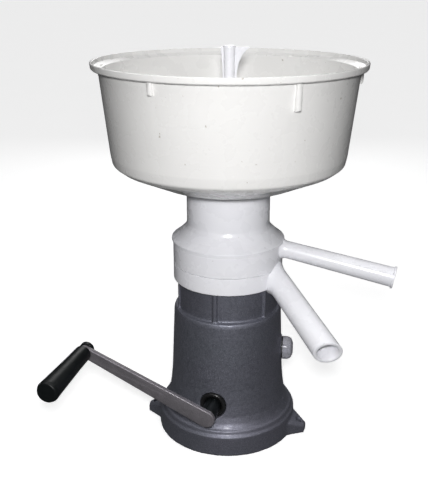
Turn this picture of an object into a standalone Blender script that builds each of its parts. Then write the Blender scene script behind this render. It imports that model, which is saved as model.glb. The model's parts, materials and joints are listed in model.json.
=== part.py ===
"""Hand-cranked cream separator, built as its separate pieces, in metres with +Z up.

The origin is the centre of the foot on the table. The crank axis points to the front, -Y.
Lengths below are in millimetres, and every mesh helper turns them into metres.
The stack, from the bottom: gear housing with the drive train, spinning drum, skim milk
receiver, cream receiver, float chamber, milk bowl and tap.
"""

import math

import bmesh
import bpy
from mathutils import Matrix, Vector

MM = 0.001
GAP = 0.3  # clearance between pieces that touch on the real machine
SHARP_ANGLE = math.radians(35)

# Numbers of sides of the round pieces
SIDES_BOWL = 36
SIDES_HOUSING = 32
SIDES_RECEIVER = 32
SIDES_DRUM = 20
SIDES_SHAFT = 12
SIDES_SMALL = 8

# Heights of the stack
DECK_LOW = 130.0
DECK_TOP = 137.0
LEDGE = 150.6
HOUSING_TOP = 184.1
SKIM_TOP = 203.4
CREAM_TOP = 229.0
CHAMBER_FLOOR = 238.5
CHAMBER_TOP = 293.6
BOWL_FLOOR = 297.2
BOWL_LIP = 411.6
BOWL_RIM = 418.6

# Main radii
FOOT_RADIUS = 81.3
COVER_RADIUS = 72.0
DRUM_CHAMBER_RADIUS = 51.0
HOUSING_NECK_RADIUS = 54.7
RECEIVER_RADIUS = 60.3
RECEIVER_WALL = 2.6
CHAMBER_NECK_RADIUS = 45.0
BOWL_RADIUS = 140.0

# Drive train: crank gear and pinion, then worm wheel and worm
CRANK_Z = 54.4
CRANK_ARM = 150.0
CRANK_RISE = math.radians(24.4)  # the arm at rest points left and up by this angle
GEAR_TEETH = 90
PINION_TEETH = 10
GEAR_MODULE = 1.0
WHEEL_TEETH = 48
WORM_STARTS = 3
WORM_MODULE = 1.1
WORM_RADIUS = 5.0
WHEEL_RADIUS = WHEEL_TEETH * WORM_MODULE / 2
WORM_LEAD = WORM_STARTS * math.pi * WORM_MODULE
GEAR_CENTRES = (GEAR_TEETH + PINION_TEETH) * GEAR_MODULE / 2
IDLER_X = -(WHEEL_RADIUS + WORM_RADIUS)
IDLER_Z = CRANK_Z + math.sqrt(GEAR_CENTRES**2 - IDLER_X**2)
GEAR_LINE = math.atan2(IDLER_Z - CRANK_Z, IDLER_X)  # from the crank axis to the idler axis
WORM_LOW = 82.6
WORM_HIGH = 104.0
WORM_STEPS_PER_TURN = 16

# Spouts: azimuth 0 is the front (-Y) and 90 is the right (+X); slopes are downwards
CREAM_SPOUT_AZIMUTH = 88.5
CREAM_SPOUT_SLOPE = 9.5
CREAM_SPOUT_Z = 222.6
CREAM_SPOUT_REACH = 178.7
CREAM_SPOUT_BORE = 7.2
CREAM_SPOUT_ROOT_RADIUS = 9.3
CREAM_SPOUT_END_RADIUS = 10.6
CREAM_FLANGE_RADIUS = 11.9
SKIM_SPOUT_ROOT_AZIMUTH = 73.0
SKIM_SPOUT_AZIMUTH = 44.0
SKIM_SPOUT_SLOPE = 25.0
SKIM_SPOUT_Z = 193.3
SKIM_SPOUT_LENGTH = 106.4  # from the wall to the centre of the mouth
SKIM_SPOUT_ROOT_RADIUS = 13.0
SKIM_SPOUT_MOUTH_RADIUS = 14.1
SKIM_MOUTH_AZIMUTH = 21.0  # the mouth's plane faces more to the front than the tube
SKIM_MOUTH_SLOPE = 19.0
SKIM_SPOUT_BORE = 10.6

# Oil filler plug on the right of the housing
OIL_PLUG_AZIMUTH = 97.0
OIL_PLUG_Z = 98.0

LUG_AZIMUTHS = (-85.0, 87.0, 180.0)
LUG_HOLE_RADIUS = 87.6  # distance of each lug's hole from the axis
COVER_SCREW_AZIMUTHS = (60.0, 180.0, 300.0)
COVER_SCREW_RADIUS = 62.0
DECK_SCREW_AZIMUTHS = (30.0, 150.0, 270.0)
DECK_SCREW_RADIUS = 21.0
DISC_COUNT = 6
DISC_PITCH = 2.4
CONE_SLOPE = 0.65  # rise of every cone in the drum for each unit inwards

TAP_TURN = math.radians(14)  # the tap's lever at rest, from +X towards +Y

# Tabs under the bowl's lip: azimuth, drop below the lip and width
BOWL_TABS = (
    (-79.0, 11.0, 5.0),
    (-17.5, 12.5, 4.6),
    (41.0, 25.0, 5.2),
    (101.0, 15.0, 5.0),
    (161.0, 15.0, 5.0),
    (221.0, 15.0, 5.0),
)

BLACK = (0.012, 0.013, 0.014)
ENAMEL = (0.085, 0.08, 0.105)
WHITE_PLASTIC = (0.83, 0.82, 0.80)
COOL_PLASTIC = (0.80, 0.80, 0.84)
STEEL = (0.52, 0.52, 0.53)
ALUMINIUM = (0.66, 0.67, 0.68)
BRONZE = (0.55, 0.36, 0.16)
RUBBER = (0.03, 0.03, 0.03)
PLUG_GREY = (0.45, 0.45, 0.5)
DISC_STEEL = (0.7, 0.7, 0.72)


# ---------------------------------------------------------------- helpers


def clear_scene():
    for obj in list(bpy.data.objects):
        bpy.data.objects.remove(obj, do_unlink=True)


def material(name, rgb, roughness, metallic=0.0):
    made = bpy.data.materials.new(name)
    made.use_nodes = True
    shader = made.node_tree.nodes["Principled BSDF"]
    shader.inputs["Base Color"].default_value = (*rgb, 1.0)
    shader.inputs["Roughness"].default_value = roughness
    shader.inputs["Metallic"].default_value = metallic
    return made


def polar(radius, azimuth, z=0.0):
    """A point in millimetres; azimuth in degrees from the front, growing to the right."""
    angle = math.radians(azimuth)
    return Vector((radius * math.sin(angle), -radius * math.cos(angle), z))


def outward(azimuth, slope=0.0):
    """The unit vector that points outwards at an azimuth and down by a slope in degrees."""
    fall = math.radians(slope)
    flat = polar(math.cos(fall), azimuth)
    return Vector((flat.x, flat.y, -math.sin(fall)))


def arc(centre_r, centre_z, radius, start, end, steps):
    """Profile points along an arc, between two angles in degrees from +r towards +z."""
    points = []
    for i in range(steps + 1):
        angle = math.radians(start + (end - start) * i / steps)
        points.append((centre_r + radius * math.cos(angle), centre_z + radius * math.sin(angle)))
    return points


def lathe(profile, sides):
    """A mesh turned about Z. A profile that doesn't start on the axis is a closed ring."""
    bm = bmesh.new()
    verts = [bm.verts.new((r * MM, 0.0, z * MM)) for r, z in profile]
    edges = [bm.edges.new(pair) for pair in zip(verts, verts[1:])]
    if profile[0][0] > 0:
        edges.append(bm.edges.new((verts[-1], verts[0])))
    bmesh.ops.spin(
        bm, geom=verts + edges, cent=(0, 0, 0), axis=(0, 0, 1),
        angle=2 * math.pi, steps=sides, use_merge=True,
    )
    bmesh.ops.remove_doubles(bm, verts=bm.verts, dist=1e-7)
    bmesh.ops.dissolve_degenerate(bm, edges=bm.edges, dist=1e-7)
    return bm


def rod(radius, low, high, sides):
    """A plain round bar along Z."""
    return lathe([(0, low), (radius, low), (radius, high), (0, high)], sides)


def tube(inner, outer, low, high, sides):
    """A plain ring about Z."""
    return lathe([(inner, low), (outer, low), (outer, high), (inner, high)], sides)


def loft(rings):
    """A closed solid through rings of points in millimetres, with flat ends."""
    bm = bmesh.new()
    loops = [[bm.verts.new(Vector(p) * MM) for p in ring] for ring in rings]
    for low, high in zip(loops, loops[1:]):
        for i in range(len(low)):
            j = (i + 1) % len(low)
            bm.faces.new((low[i], low[j], high[j], high[i]))
    bm.faces.new(list(reversed(loops[0])))
    bm.faces.new(loops[-1])
    return bm


def prism(outline, low, high):
    """An outline in X and Y, extruded along Z."""
    return loft([[(x, y, z) for x, y in outline] for z in (low, high)])


def block(low, high):
    """A box between two corners."""
    outline = ((low[0], low[1]), (high[0], low[1]), (high[0], high[1]), (low[0], high[1]))
    return prism(outline, low[2], high[2])


def place(bm, matrix):
    """Moves a mesh by a matrix whose translation is in metres."""
    bmesh.ops.transform(bm, matrix=matrix, verts=bm.verts)
    return bm


def along(start, direction):
    """The matrix that takes +Z to a direction, from a start point in millimetres."""
    turn = direction.normalized().to_track_quat("Z", "Y").to_matrix().to_4x4()
    return Matrix.Translation(Vector(start) * MM) @ turn


def upright(radius, azimuth):
    """The matrix that moves a mesh from the axis to a radius, still upright."""
    return Matrix.Translation(polar(radius, azimuth) * MM)


def add(name, bm, finish, parent=None):
    """Adds a mesh to the scene as one named piece."""
    bmesh.ops.recalc_face_normals(bm, faces=bm.faces)
    mesh = bpy.data.meshes.new(name)
    bm.to_mesh(mesh)
    bm.free()
    mesh.shade_smooth()
    mesh.set_sharp_from_angle(angle=SHARP_ANGLE)
    obj = bpy.data.objects.new(name, mesh)
    bpy.context.scene.collection.objects.link(obj)
    obj.parent = parent
    if finish:
        mesh.materials.append(finish)
    return obj


def helper(name, bm, parent=None):
    """Adds a mesh that only shapes another piece."""
    obj = add(name, bm, None, parent)
    obj.hide_render = True
    obj.display_type = "WIRE"
    return obj


def shape(obj, operation, body, parent=None):
    """Applies a Boolean modifier to a piece. The body is a mesh or a helper object."""
    number = len(obj.modifiers)
    if isinstance(body, bmesh.types.BMesh):
        body = helper(f"{obj.name}.{operation.lower()}.{number}", body, parent)
    modifier = obj.modifiers.new(f"{operation.title()} {number}", "BOOLEAN")
    modifier.operation = operation
    modifier.solver = "EXACT"
    modifier.object = body


def empty(name, location, forward=False, parent=None):
    """A joint's axis. With forward set, its Z points to the front, -Y, and its Y points up."""
    obj = bpy.data.objects.new(name, None)
    obj.location = Vector(location) * MM
    if forward:
        obj.rotation_euler = (math.pi / 2, 0, 0)
    obj.parent = parent
    bpy.context.scene.collection.objects.link(obj)
    return obj


def tooth_ring(teeth, tip, root, tip_share, phase, z):
    """One ring of a toothed outline with pointed gaps. tip_share is a tip's width / the pitch."""
    step = 2 * math.pi / teeth
    corners = ((tip, -step * tip_share / 2), (tip, step * tip_share / 2), (root, step / 2))
    points = []
    for i in range(teeth):
        for radius, offset in corners:
            angle = phase + i * step + offset
            points.append((radius * math.cos(angle), radius * math.sin(angle), z))
    return points


def circle_ring(radius, count, phase, z):
    """A round ring of points, for the plain ends of a toothed shaft."""
    points = []
    for i in range(count):
        angle = phase + 2 * math.pi * i / count
        points.append((radius * math.cos(angle), radius * math.sin(angle), z))
    return points


# ---------------------------------------------------------------- housing


def housing_outside(inset=0.0):
    """The casting's outer outline from the table up to the neck."""
    points = [(FOOT_RADIUS, 0.0), (80.2, 22.0), (78.6, 24.2)]
    points += [(75.0, 26.6), (70.8, 31.6), (68.0, 39.0), (65.4, 55.0), (63.7, 72.0)]
    points += [(60.4, 144.5), (59.2, 148.6)]
    points += [(55.8, LEDGE), (HOUSING_NECK_RADIUS, LEDGE + 2.0)]
    points += [(HOUSING_NECK_RADIUS, HOUSING_TOP)]
    return [(r - inset, z) for r, z in points]


def housing_works():
    """Bridge and bosses inside the casting that carry the bearings."""
    bridge = block((-63, -13, 51), (63, 13, 62))
    crank_boss = place(rod(19, 42, 70, 16), along((0, 0, CRANK_Z), outward(0)))
    front_boss = place(rod(9, 40, 62, SIDES_SHAFT), along((IDLER_X, 0, IDLER_Z), outward(0)))
    rear_boss = place(rod(9, 29, 62, SIDES_SHAFT), along((IDLER_X, 0, IDLER_Z), outward(180)))
    return [bridge, crank_boss, front_boss, rear_boss]


def housing_lug(azimuth):
    """A foot lug: wide at the foot, narrow and low at its tip."""
    rings = []
    for radius, side, height in ((74.0, 20.0, 19.0), (80.6, 15.0, 17.0), (95.2, 4.5, 9.6)):
        corners = ((-side, 0), (side, 0), (side, height), (-side, height))
        rings.append([(x, y, radius) for x, y in corners])
    turn = Matrix.Rotation(math.radians(azimuth), 4, "Z") @ Matrix.Rotation(math.pi / 2, 4, "X")
    return place(loft(rings), turn)


def housing_lug_boss(azimuth):
    """The rounded boss that stands on the foot above a lug."""
    profile = [(0, 12), (9, 12), (9, 30), (7, 36.5), (0, 40.5)]
    return place(lathe(profile, SIDES_SHAFT), upright(62, azimuth))


def housing_rib(azimuth):
    """A vertical rib on the neck, under the receivers."""
    rib = block((-2, 52.6, LEDGE - 1), (2, 57.0, HOUSING_TOP - 0.4))
    return place(rib, Matrix.Rotation(math.radians(azimuth + 180), 4, "Z"))


def make_housing():
    finish = material("hammered_enamel", ENAMEL, 0.35, 0.3)
    inside = [(DRUM_CHAMBER_RADIUS, HOUSING_TOP), (DRUM_CHAMBER_RADIUS, DECK_TOP)]
    inside += [(17.0, DECK_TOP), (17.0, DECK_LOW), (58.0, DECK_LOW), (60.6, 72.0), (62.2, 55.0)]
    inside += [(64.6, 38.0), (68.5, 26.0), (68.5, 5.0)]
    inside += [(COVER_RADIUS + GAP, 5.0), (COVER_RADIUS + GAP, 0.0)]
    housing = add("drive_housing", lathe(housing_outside() + inside, SIDES_HOUSING), finish)

    envelope_outline = [(0, 0)] + housing_outside(1.2) + [(0, HOUSING_TOP)]
    for i, bm in enumerate(housing_works()):
        body = helper(f"housing_works.{i}", bm)
        shape(body, "INTERSECT", lathe(envelope_outline, SIDES_HOUSING))
        shape(housing, "UNION", body)

    for azimuth in COVER_SCREW_AZIMUTHS:
        boss = rod(5.5, 5.0, 20, SIDES_SMALL)
        shape(housing, "UNION", place(boss, upright(64, azimuth)))
    for azimuth in LUG_AZIMUTHS:
        shape(housing, "UNION", housing_lug(azimuth))
    for azimuth in LUG_AZIMUTHS[:2]:
        shape(housing, "UNION", housing_lug_boss(azimuth))
    for i in range(6):
        shape(housing, "UNION", housing_rib(60.0 * i))
    oil = along((0, 0, OIL_PLUG_Z), outward(OIL_PLUG_AZIMUTH))
    shape(housing, "UNION", place(rod(14.5, 56.5, 62.6, 16), oil))

    crank = along((0, 0, CRANK_Z), outward(0))
    seat = lathe([(0, 40), (11.0, 40), (11.0, 57.5), (14.75, 57.5), (14.75, 75), (0, 75)], 20)
    shape(housing, "DIFFERENCE", place(seat, crank))
    shape(housing, "DIFFERENCE", place(rod(10.3, 50, 70, SIDES_SHAFT), oil))
    shape(housing, "DIFFERENCE", rod(11.4, 56.0, 70, 16))
    for azimuth, low, high in ((0, 38, 46), (180, 27, 42)):
        bore = rod(7.0, low, high, SIDES_SHAFT)
        shape(housing, "DIFFERENCE", place(bore, along((IDLER_X, 0, IDLER_Z), outward(azimuth))))
    for azimuth in COVER_SCREW_AZIMUTHS:
        hole = rod(2.1, -1, 16, SIDES_SMALL)
        shape(housing, "DIFFERENCE", place(hole, upright(COVER_SCREW_RADIUS, azimuth)))
    for azimuth in DECK_SCREW_AZIMUTHS:
        hole = rod(1.9, DECK_TOP - 5.5, DECK_TOP + 1, SIDES_SMALL)
        shape(housing, "DIFFERENCE", place(hole, upright(DECK_SCREW_RADIUS, azimuth)))
    for azimuth in LUG_AZIMUTHS:
        hole = rod(3.3, -1, 30, SIDES_SHAFT)
        shape(housing, "DIFFERENCE", place(hole, upright(LUG_HOLE_RADIUS, azimuth)))


def make_bottom_cover():
    """The plate that closes the gear case, its gasket and its screws."""
    plate_steel = material("cover_plate", STEEL, 0.4, 1.0)
    plate = add("bottom_cover", rod(COVER_RADIUS, 0.0, 3.6, SIDES_HOUSING), plate_steel)
    gasket = tube(67.0, 71.6, 3.6 + GAP, 4.7, SIDES_HOUSING)
    add("bottom_gasket", gasket, material("gasket", RUBBER, 0.8))
    steel = material("cover_screw_steel", STEEL, 0.35, 1.0)
    for i, azimuth in enumerate(COVER_SCREW_AZIMUTHS, 1):
        spot = upright(COVER_SCREW_RADIUS, azimuth)
        sink = lathe([(0, -1), (4.0, -1), (4.0, 2.2), (2.1, 2.2), (2.1, 5), (0, 5)], SIDES_SMALL)
        shape(plate, "DIFFERENCE", place(sink, spot))
        screw = lathe([(0, 0.3), (3.6, 0.3), (3.6, 1.9), (1.7, 1.9), (1.7, 14), (0, 14)], SIDES_SMALL)
        add(f"cover_screw_{i}", place(screw, spot), steel)


def make_oil_plug():
    """The translucent domed filler plug and its washer."""
    radial = along((0, 0, OIL_PLUG_Z), outward(OIL_PLUG_AZIMUTH))
    dome = arc(8.6, 70.3, 4.6, 0, 80, 3)
    plug = [(0, 56.5), (9.9, 56.5), (9.9, 64.4), (13.2, 64.4), *dome, (0, 75.3)]
    plug_plastic = material("plug_plastic", PLUG_GREY, 0.3)
    add("oil_filler_plug", place(lathe(plug, 16), radial), plug_plastic)
    washer = tube(10.4, 13.0, 62.6 + GAP, 64.1, 16)
    add("oil_plug_washer", place(washer, radial), material("washer_rubber", RUBBER, 0.7))


def make_bearings():
    """Everything fixed in the housing that carries a shaft."""
    bronze = material("bearing_bronze", BRONZE, 0.35, 1.0)
    steel = material("bearing_steel", STEEL, 0.3, 1.0)
    crank = along((0, 0, CRANK_Z), outward(0))
    seal = lathe([(9.5, 58.0), (14.4, 58.0), (14.4, 64.4), (13.4, 65.4), (9.5, 65.4)], 16)
    add("crank_seal", place(seal, crank), material("seal_rubber", BLACK, 0.15))
    add("crank_bushing", place(tube(6.5, 10.6, 42.2, 57.2, SIDES_SHAFT), crank), bronze)
    for name, azimuth, low, high in (("front", 0, 40.2, 45.4), ("rear", 180, 29.2, 41.4)):
        spot = along((IDLER_X, 0, IDLER_Z), outward(azimuth))
        add(f"idler_bush_{name}", place(tube(5.4, 6.7, low, high, SIDES_SHAFT), spot), bronze)
    add("lower_bearing", tube(4.5, 11.0, 56.0 + GAP, 62.0, 16), steel)
    add("upper_bearing", tube(6.6, 12.0, 130.6, 136.8, 16), steel)
    damper = tube(12.5, 16.6, 130.6, 136.8, 16)
    add("bearing_damper_ring", damper, material("damper_rubber", RUBBER, 0.8))
    cover_alloy = material("cover_alloy", ALUMINIUM, 0.4, 1.0)
    cover = add("bearing_cover", tube(8.5, 25.0, DECK_TOP + GAP, 139.6, 20), cover_alloy)
    screw_steel = material("deck_screw_steel", STEEL, 0.35, 1.0)
    for i, azimuth in enumerate(DECK_SCREW_AZIMUTHS, 1):
        spot = upright(DECK_SCREW_RADIUS, azimuth)
        shape(cover, "DIFFERENCE", place(rod(1.9, 136, 141, SIDES_SMALL), spot))
        screw = [(0, 132), (1.5, 132), (1.5, 139.9), (3.2, 139.9), (3.2, 141.4), (0, 141.4)]
        add(f"bearing_cover_screw_{i}", place(lathe(screw, SIDES_SMALL), spot), screw_steel)


# ---------------------------------------------------------------- crank


def arm_outline():
    """The crank arm seen from the front: round at both ends and narrower at the grip."""
    hub_radius = 9.5
    grip_radius = 6.4
    lean = math.degrees(math.asin((hub_radius - grip_radius) / CRANK_ARM))
    tip = arc(CRANK_ARM, 0, grip_radius, lean - 90, 90 - lean, 8)
    return tip + arc(0, 0, hub_radius, 90 - lean, 270 + lean, 8)


def make_crank():
    """The crank, in its axis frame: Z points to the front and Y points up."""
    axis = empty("crank_axis", (0, 0, CRANK_Z), forward=True)
    steel = material("shaft_steel", STEEL, 0.3, 1.0)
    shaft = add("crank_shaft", rod(6.0, 22.0, 88.4, 16), steel, axis)
    shape(shaft, "DIFFERENCE", rod(2.9, 20, 33, SIDES_SMALL), parent=axis)
    hub_black = material("hub_black", BLACK, 0.3)
    hub = add("crank_hub", tube(6.5, 9.1, 59.0, 88.8, 16), hub_black, axis)
    shape(hub, "DIFFERENCE", block((-1.2, 8.1, 57), (1.2, 12, 90)), parent=axis)
    across = along((0, 0, 77), Vector((1, 0, 0)))
    for piece in (shaft, hub):
        shape(piece, "DIFFERENCE", place(rod(1.9, -12, 12, SIDES_SMALL), across), parent=axis)
    add("hub_cross_pin", place(rod(1.5, -8.7, 8.7, SIDES_SMALL), across), steel, axis)

    turn = Matrix.Rotation(math.pi - CRANK_RISE, 4, "Z")
    arm_enamel = material("arm_enamel", ENAMEL, 0.35, 0.3)
    arm = add("crank_arm", place(prism(arm_outline(), 89.1, 94.6), turn), arm_enamel, axis)
    grip_spot = turn @ Matrix.Translation((CRANK_ARM * MM, 0, 0))
    shape(arm, "DIFFERENCE", place(rod(4.4, 88, 96, SIDES_SHAFT), grip_spot), parent=axis)
    pin = [(0, 82.6), (6.4, 82.6), (8.0, 84.2), (8.0, 88.8), (4.0, 88.8), (4.0, 172), (0, 172)]
    pin_black = material("pin_black", BLACK, 0.35)
    add("grip_pin", place(lathe(pin, SIDES_SHAFT), grip_spot), pin_black, axis)

    rings = [tooth_ring(GEAR_TEETH, 46.0, 43.4, 0.12, GEAR_LINE, z) for z in (26.0, 34.0)]
    wheel = add("drive_gear", loft(rings), material("gear_steel", STEEL, 0.4, 1.0), axis)
    shape(wheel, "UNION", rod(11.0, 22.4, 38.0, 16), parent=axis)
    shape(wheel, "DIFFERENCE", rod(6.5, 20, 42, 16), parent=axis)
    bolt = add("drive_gear_bolt", rod(2.5, 18.0, 30.0, SIDES_SMALL), steel, axis)
    shape(bolt, "UNION", rod(8.4, 18.0, 21.6, 6), parent=axis)

    grip_axis = empty("grip_axis", (0, 0, 0), parent=axis)
    grip_axis.location = grip_spot.to_translation()
    grip = [(0, 181.0), (9.8, 181.0), (11.4, 179.4), (11.8, 176), (11.0, 165), (9.6, 120)]
    grip += [(9.2, 96.4), (8.4, 95.0), (4.6, 95.0), (4.6, 174.0), (0, 174.0)]
    add("crank_grip", lathe(grip, 16), material("grip_plastic", BLACK, 0.3), grip_axis)


# ---------------------------------------------------------------- drive train


def make_idler():
    """Pinion shaft and worm wheel, in the idler's frame: Z points to the front."""
    axis = empty("idler_axis", (IDLER_X, 0, IDLER_Z), forward=True)
    phase = GEAR_LINE + math.pi + math.pi / PINION_TEETH
    rear, front = ([circle_ring(5.0, 3 * PINION_TEETH, phase, z) for z in ends]
                   for ends in ((-41.0, 24.2), (35.8, 45.2)))
    teeth = [tooth_ring(PINION_TEETH, 6.0, 3.5, 0.12, phase, z) for z in (24.6, 35.4)]
    add("pinion_shaft", loft(rear + teeth + front), material("pinion_steel", STEEL, 0.3, 1.0), axis)

    twist = WORM_LEAD / (2 * math.pi * WORM_RADIUS) / WHEEL_RADIUS
    rings = [tooth_ring(WHEEL_TEETH, 27.2, 24.9, 0.14, twist * z, z) for z in (-4.5, 0.0, 4.5)]
    wheel = add("worm_wheel", loft(rings), material("wheel_bronze", BRONZE, 0.35, 1.0), axis)
    shape(wheel, "UNION", rod(10.0, -8.0, 8.0, 16), parent=axis)
    shape(wheel, "DIFFERENCE", rod(5.5, -12, 12, 16), parent=axis)


def worm_ring(z):
    """A cross-section of the worm: for each start a tip, and a straight flank to each root."""
    tip, root = 5.8, 3.75
    turn = math.pi + math.pi / WORM_STARTS + 2 * math.pi * (z - IDLER_Z) / WORM_LEAD
    points = []
    for start in range(WORM_STARTS):
        for radius, degrees in ((root, -48), (tip, -13), (tip, 13), (root, 48)):
            angle = turn + 2 * math.pi * start / WORM_STARTS + math.radians(degrees)
            points.append((radius * math.cos(angle), radius * math.sin(angle), z))
    return points


def journal_rings(sections, worm_end):
    """Round sections (radius, z) of the spindle, turned to meet an end of its worm."""
    first = worm_ring(worm_end)
    phase = math.atan2(first[0][1], first[0][0])
    return [circle_ring(radius, len(first), phase, z) for radius, z in sections]


def make_spindle():
    """The upright shaft with its three-start worm and the taper that carries the drum."""
    length = WORM_HIGH - WORM_LOW
    layers = math.ceil(length / WORM_LEAD * WORM_STEPS_PER_TURN)
    rings = journal_rings([(4.0, 56.9), (4.0, 77.0), (6.0, 78.0), (6.0, 80.6)], WORM_LOW)
    rings += [worm_ring(WORM_LOW + length * i / layers) for i in range(layers + 1)]
    rings += journal_rings([(6.0, 106.0), (6.0, 145.0), (4.5, 162.0)], WORM_HIGH)
    axis = empty("spindle_axis", (0, 0, 0))
    add("spindle", loft(rings), material("spindle_steel", STEEL, 0.25, 1.0), axis)


# ---------------------------------------------------------------- drum


def make_drum():
    """The spinning drum: base, disc stack, cap, nut and the screw that sets the cream."""
    axis = bpy.data.objects["spindle_axis"]
    alloy = material("drum_alloy", ALUMINIUM, 0.3, 1.0)
    disc_steel = material("disc_steel", DISC_STEEL, 0.25, 1.0)
    base = [(0, 163.4), (4.9, 163.4), (6.5, 145), (6.5, 143.5), (14, 143.5), (14, 146.5)]
    base += [(42, 148), (46, 152), (46, 176), (43, 176), (43, 154.5), (41, 152.5)]
    base += [(9.5, 152.5), (9.5, 197), (8.0, 197), (8.0, 222), (6.2, 222), (6.2, 166), (0, 166)]
    drum_base = add("drum_base", lathe(base, SIDES_DRUM), alloy, axis)
    milk_hole = place(rod(2.2, -12, 12, SIDES_SMALL), along((0, 0, 169), Vector((1, 0, 0))))
    shape(drum_base, "DIFFERENCE", milk_hole, parent=axis)
    seal = tube(43.3, 45.7, 176 + GAP, 178.7, SIDES_DRUM)
    add("drum_seal_ring", seal, material("drum_rubber", RUBBER, 0.6), axis)

    holder = [(9.9, 176.8), (9.9, 196), (12.2, 196), (12.2, 178.6), (36, 163.1), (36, 161.6)]
    holder += [(12.6, 176.8)]
    holder_plastic = material("holder_plastic", WHITE_PLASTIC, 0.4)
    add("disc_holder", lathe(holder, SIDES_DRUM), holder_plastic, axis)
    for i in range(DISC_COUNT):
        low = 166.0 + DISC_PITCH * i
        rise = (38.0 - 15.0) * CONE_SLOPE
        disc = [(38.0, low), (38.0, low + 0.7), (15.0, low + 0.7 + rise), (15.0, low + rise)]
        add(f"drum_disc_{i + 1}", lathe(disc, SIDES_DRUM), disc_steel, axis)
    rise = (41.0 - 14.0) * CONE_SLOPE
    separating = [(41.0, 180.0), (41.0, 181.0), (14.0, 181.0 + rise), (14.0, 207), (12.7, 207)]
    separating += [(12.7, 180.8 + rise)]
    add("separating_disc", lathe(separating, SIDES_DRUM), disc_steel, axis)

    cap = [(46, 179), (46, 184), (18.4, 184 + 27.6 * CONE_SLOPE), (17.0, 202.6), (17.0, 217.5)]
    cap += [(8.4, 217.5), (8.4, 215), (14.7, 215), (14.7, 182.5 + 28.3 * CONE_SLOPE)]
    cap += [(43, 182.5), (43, 179)]
    drum_cap = add("drum_cap", lathe(cap, SIDES_DRUM), alloy, axis)
    for azimuth in (90, 270):
        hole = rod(1.8, 185, 210, SIDES_SMALL)
        shape(drum_cap, "DIFFERENCE", place(hole, upright(23, azimuth)), parent=axis)
    front = along((0, 0, 213.2), outward(0))
    shape(drum_cap, "DIFFERENCE", place(rod(1.9, 10, 20, SIDES_SMALL), front), parent=axis)
    cream_screw = place(tube(0.7, 1.5, 13.6, 18.4, SIDES_SMALL), front)
    add("cream_screw", cream_screw, material("screw_brass", BRONZE, 0.3, 1.0), axis)
    nut = add("drum_nut", tube(8.4, 14.0, 217.5 + GAP, 223.5, SIDES_DRUM), alloy, axis)
    for azimuth in (0, 90):
        notch = block((-2, -16, 221.2), (2, 16, 225))
        turn = Matrix.Rotation(math.radians(azimuth), 4, "Z")
        shape(nut, "DIFFERENCE", place(notch, turn), parent=axis)


# ---------------------------------------------------------------- receivers


def make_skim_receiver():
    """The lower ring trough and the wide skim milk spout on its wall."""
    outer, inner = RECEIVER_RADIUS, RECEIVER_RADIUS - RECEIVER_WALL
    low = HOUSING_TOP + GAP
    profile = [(47.8, 177.5), (50.3, 177.5), (50.3, low), (outer, low), (outer, SKIM_TOP)]
    profile += [(inner, SKIM_TOP), (inner, low + 2.6), (50.3, low + 2.6), (50.3, 194), (47.8, 194)]
    finish = material("skim_plastic", COOL_PLASTIC, 0.3)
    receiver = add("skim_receiver", lathe(profile, SIDES_RECEIVER), finish)
    start = polar(RECEIVER_RADIUS, SKIM_SPOUT_ROOT_AZIMUTH, SKIM_SPOUT_Z)
    forward = outward(SKIM_SPOUT_AZIMUTH, SKIM_SPOUT_SLOPE)
    end = SKIM_SPOUT_LENGTH
    mouth = start + forward * end
    frame = along(start, forward)
    tube_side = [(SKIM_SPOUT_ROOT_RADIUS, -10), (SKIM_SPOUT_MOUTH_RADIUS, end + 12)]
    spout = add("skim_spout", place(lathe([(0, -10), *tube_side, (0, end + 12)], 16), frame), finish)
    near = outer + GAP
    clear_ring = [(0, 100), (near, 100), (near, SKIM_TOP), (66.0, SKIM_TOP), (66.0, 260), (0, 260)]
    shape(spout, "DIFFERENCE", lathe(clear_ring, SIDES_RECEIVER))
    past_mouth = along(mouth, outward(SKIM_MOUTH_AZIMUTH, SKIM_MOUTH_SLOPE))
    shape(spout, "DIFFERENCE", place(block((-40, -40, 0), (40, 40, 40)), past_mouth))
    bore = helper("skim_spout_bore", place(rod(SKIM_SPOUT_BORE, -16, end + 14, 16), frame))
    keep = [(50.4, low + 2.7), (190, low - 147), (190, SKIM_TOP - 2.2), (50.4, SKIM_TOP - 2.2)]
    shape(bore, "INTERSECT", lathe(keep, SIDES_RECEIVER))
    shape(receiver, "DIFFERENCE", bore)
    shape(spout, "DIFFERENCE", bore)


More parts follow.
